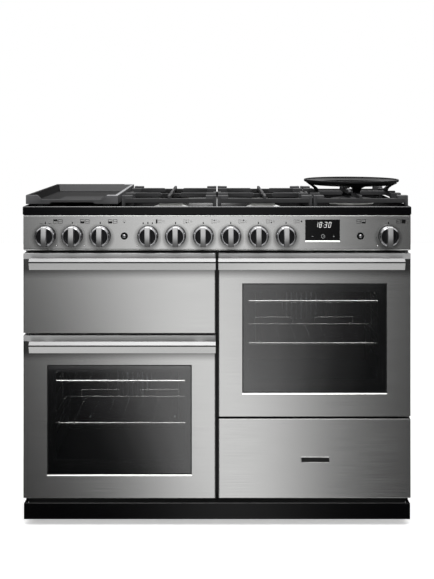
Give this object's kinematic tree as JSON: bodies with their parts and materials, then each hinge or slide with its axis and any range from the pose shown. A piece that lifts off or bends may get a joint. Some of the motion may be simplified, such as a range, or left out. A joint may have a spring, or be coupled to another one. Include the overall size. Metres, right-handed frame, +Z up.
{
  "type": "dual fuel range cooker",
  "caption": "Wide freestanding cooker: two side-hung ovens, drop-down grill, drawer, control row, gas hob with griddle and wok cradle.",
  "frame": {"origin": "on the floor, in the middle of the cooker's width and depth", "axes": "+X to the right seen from the front, +Y to the back, +Z up; the front faces -Y"},
  "size_m": [1.1043, 0.648, 0.9713],
  "materials": {
    "brushed_stainless": "brushed stainless steel",
    "polished_knob_metal": "polished and brushed plated metal",
    "shelf_wire": "plated wire",
    "black_hob_enamel": "gloss black enamel",
    "oven_enamel": "dark speckled vitreous enamel",
    "case_paint": "dark grey powder coat",
    "frame_paint": "black heat proof paint",
    "zinc_steel": "zinc coated steel",
    "element_sheath": "dark oxidised sheath",
    "seal_rope": "woven seal",
    "window_glass": "grey tinted toughened glass",
    "black_display_glass": "gloss black",
    "black_ceramic_glass": "black glass ceramic",
    "tap_brass": "turned brass",
    "pipe_aluminium": "drawn aluminium",
    "burner_aluminium": "cast aluminium",
    "burner_cap_enamel": "matt black enamel",
    "cast_iron_black": "matt black enamelled cast iron",
    "fitting_plastic": "heat proof moulding",
    "roller_nylon": "moulded nylon",
    "foot_steel": "plated steel"
  },
  "bodies": {
    "cooker": {"case_panels": "case_paint", "base_frame": "zinc_steel", "front_frame": "frame_paint", "plinth": "black_hob_enamel", "left_oven_liner": "oven_enamel", "right_oven_liner": "oven_enamel", "grill_liner": "oven_enamel", "grill_pan": "oven_enamel", "wire_shelves": "shelf_wire", "heating_elements": "element_sheath", "door_seals": "seal_rope", "control_panel": "brushed_stainless", "clock_display": "black_display_glass", "electrical_fittings": "fitting_plastic", "gas_pipework": "pipe_aluminium", "hob_top": "black_hob_enamel", "ceramic_zone": "black_ceramic_glass", "burner_bodies": "burner_aluminium", "burner_caps": "burner_cap_enamel"},
    "left_door": {"left_door_skin": "brushed_stainless", "left_door_glass": "window_glass", "left_door_liner": "frame_paint", "left_door_handle": "brushed_stainless"},
    "right_door": {"right_door_skin": "brushed_stainless", "right_door_glass": "window_glass", "right_door_liner": "frame_paint", "right_door_handle": "brushed_stainless"},
    "grill_door": {"grill_door_skin": "brushed_stainless", "grill_door_liner": "frame_paint", "grill_door_handle": "brushed_stainless"},
    "drawer": {"drawer_front": "brushed_stainless", "drawer_box": "case_paint"},
    "rail_middles": {"drawer_rail_middles": "zinc_steel"},
    "left_fan": {"left_fan": "zinc_steel"},
    "right_fan": {"right_fan": "zinc_steel"},
    "pan_support_1": {"pan_support_1": "cast_iron_black"},
    "pan_support_2": {"pan_support_2": "cast_iron_black"},
    "pan_support_3": {"pan_support_3": "cast_iron_black"},
    "griddle": {"griddle": "cast_iron_black"},
    "wok_cradle": {"wok_cradle": "cast_iron_black"},
    "left_foot": {"left_foot": "foot_steel"},
    "right_foot": {"right_foot": "foot_steel"},
    "rear_rollers": {"rear_rollers": "roller_nylon"},
    "button_oven_light": {"button_oven_light": "polished_knob_metal"},
    "button_ignition": {"button_ignition": "polished_knob_metal"},
    "knob_grill": {"knob_grill": "polished_knob_metal"},
    "knob_left_oven_function": {"knob_left_oven_function": "polished_knob_metal"},
    "knob_left_oven_heat": {"knob_left_oven_heat": "polished_knob_metal"},
    "knob_hotplate": {"knob_hotplate": "polished_knob_metal"},
    "knob_burner_1": {"knob_burner_1": "polished_knob_metal"},
    "knob_burner_2": {"knob_burner_2": "polished_knob_metal"},
    "knob_burner_3": {"knob_burner_3": "polished_knob_metal"},
    "knob_burner_4": {"knob_burner_4": "polished_knob_metal"},
    "knob_wok_burner": {"knob_wok_burner": "polished_knob_metal"},
    "knob_right_oven": {"knob_right_oven": "polished_knob_metal"},
    "tap_plug_1": {"tap_plug_1": "tap_brass"},
    "tap_plug_2": {"tap_plug_2": "tap_brass"},
    "tap_plug_3": {"tap_plug_3": "tap_brass"},
    "tap_plug_4": {"tap_plug_4": "tap_brass"},
    "tap_plug_5": {"tap_plug_5": "tap_brass"}
  },
  "joints": [
    {"name": "left_door_hinge", "type": "hinge", "parent": "cooker", "child": "left_door", "pos_m": [-0.533, -0.262, 0.309], "axis": [0, 0, 1], "range_deg": [-100, 0]},
    {"name": "right_door_hinge", "type": "hinge", "parent": "cooker", "child": "right_door", "pos_m": [0.533, -0.262, 0.541], "axis": [0, 0, 1], "range_deg": [0, 100]},
    {"name": "grill_door_hinge", "type": "hinge", "parent": "cooker", "child": "grill_door", "pos_m": [-0.2764, -0.276, 0.551], "axis": [1, 0, 0], "range_deg": [0, 90]},
    {"name": "drawer_slide", "type": "slide", "parent": "cooker", "child": "drawer", "axis": [0, -1, 0], "range_m": [0, 0.4]},
    {"name": "rail_middles_slide", "type": "slide", "parent": "cooker", "child": "rail_middles", "axis": [0, -1, 0], "range_m": [0, 0.2]},
    {"name": "pan_support_1_lift", "type": "slide", "parent": "cooker", "child": "pan_support_1", "axis": [0, 0, 1], "range_m": [0, 0.12]},
    {"name": "pan_support_2_lift", "type": "slide", "parent": "cooker", "child": "pan_support_2", "axis": [0, 0, 1], "range_m": [0, 0.12]},
    {"name": "pan_support_3_lift", "type": "slide", "parent": "cooker", "child": "pan_support_3", "axis": [0, 0, 1], "range_m": [0, 0.12]},
    {"name": "griddle_lift", "type": "slide", "parent": "cooker", "child": "griddle", "axis": [0, 0, 1], "range_m": [0, 0.12]},
    {"name": "wok_cradle_lift", "type": "slide", "parent": "pan_support_3", "child": "wok_cradle", "axis": [0, 0, 1], "range_m": [0, 0.12]},
    {"name": "left_fan_spin", "type": "hinge", "parent": "cooker", "child": "left_fan", "pos_m": [-0.2764, 0.15, 0.299], "axis": [0, 1, 0], "continuous": true},
    {"name": "right_fan_spin", "type": "hinge", "parent": "cooker", "child": "right_fan", "pos_m": [0.2764, 0.15, 0.545], "axis": [0, 1, 0], "continuous": true},
    {"name": "button_oven_light_press", "type": "slide", "parent": "cooker", "child": "button_oven_light", "axis": [0, 1, 0], "range_m": [0, 0.003], "stiffness_N_per_m": 400},
    {"name": "button_ignition_press", "type": "slide", "parent": "cooker", "child": "button_ignition", "axis": [0, 1, 0], "range_m": [0, 0.003], "stiffness_N_per_m": 400},
    {"name": "knob_grill_turn", "type": "hinge", "parent": "cooker", "child": "knob_grill", "pos_m": [-0.48598, -0.289, 0.821], "axis": [0, 1, 0], "range_deg": [-135, 135]},
    {"name": "knob_left_oven_function_turn", "type": "hinge", "parent": "cooker", "child": "knob_left_oven_function", "pos_m": [-0.40959, -0.289, 0.821], "axis": [0, 1, 0], "range_deg": [0, 270]},
    {"name": "knob_left_oven_heat_turn", "type": "hinge", "parent": "cooker", "child": "knob_left_oven_heat", "pos_m": [-0.33071, -0.289, 0.821], "axis": [0, 1, 0], "range_deg": [0, 240]},
    {"name": "knob_hotplate_turn", "type": "hinge", "parent": "cooker", "child": "knob_hotplate", "pos_m": [-0.19564, -0.289, 0.821], "axis": [0, 1, 0], "range_deg": [-135, 135]},
    {"name": "knob_right_oven_turn", "type": "hinge", "parent": "cooker", "child": "knob_right_oven", "pos_m": [0.48598, -0.289, 0.821], "axis": [0, 1, 0], "range_deg": [0, 240]},
    {"name": "tap_1_turn", "type": "hinge", "parent": "cooker", "child": "tap_plug_1", "pos_m": [-0.11732, -0.266, 0.821], "axis": [0, -1, 0], "range_deg": [0, 225]},
    {"name": "tap_2_turn", "type": "hinge", "parent": "cooker", "child": "tap_plug_2", "pos_m": [-0.039, -0.266, 0.821], "axis": [0, -1, 0], "range_deg": [0, 225]},
    {"name": "tap_3_turn", "type": "hinge", "parent": "cooker", "child": "tap_plug_3", "pos_m": [0.039, -0.266, 0.821], "axis": [0, -1, 0], "range_deg": [0, 225]},
    {"name": "tap_4_turn", "type": "hinge", "parent": "cooker", "child": "tap_plug_4", "pos_m": [0.11732, -0.266, 0.821], "axis": [0, -1, 0], "range_deg": [0, 225]},
    {"name": "tap_5_turn", "type": "hinge", "parent": "cooker", "child": "tap_plug_5", "pos_m": [0.19564, -0.266, 0.821], "axis": [0, -1, 0], "range_deg": [0, 225]},
    {"name": "knob_burner_1_press", "type": "slide", "parent": "tap_plug_1", "child": "knob_burner_1", "axis": [0, 1, 0], "range_m": [0, 0.004], "stiffness_N_per_m": 500},
    {"name": "knob_burner_2_press", "type": "slide", "parent": "tap_plug_2", "child": "knob_burner_2", "axis": [0, 1, 0], "range_m": [0, 0.004], "stiffness_N_per_m": 500},
    {"name": "knob_burner_3_press", "type": "slide", "parent": "tap_plug_3", "child": "knob_burner_3", "axis": [0, 1, 0], "range_m": [0, 0.004], "stiffness_N_per_m": 500},
    {"name": "knob_burner_4_press", "type": "slide", "parent": "tap_plug_4", "child": "knob_burner_4", "axis": [0, 1, 0], "range_m": [0, 0.004], "stiffness_N_per_m": 500},
    {"name": "knob_wok_burner_press", "type": "slide", "parent": "tap_plug_5", "child": "knob_wok_burner", "axis": [0, 1, 0], "range_m": [0, 0.004], "stiffness_N_per_m": 500},
    {"name": "left_foot_screw", "type": "slide", "parent": "cooker", "child": "left_foot", "axis": [0, 0, -1], "range_m": [0, 0.025]},
    {"name": "right_foot_screw", "type": "slide", "parent": "cooker", "child": "right_foot", "axis": [0, 0, -1], "range_m": [0, 0.025]},
    {"name": "rear_rollers_turn", "type": "hinge", "parent": "cooker", "child": "rear_rollers", "pos_m": [0, 0.264, 0.024], "axis": [1, 0, 0], "continuous": true}
  ],
  "couplings": [
    {"joint": "rail_middles_slide", "follows": "drawer_slide", "ratio": 0.5}
  ]
}
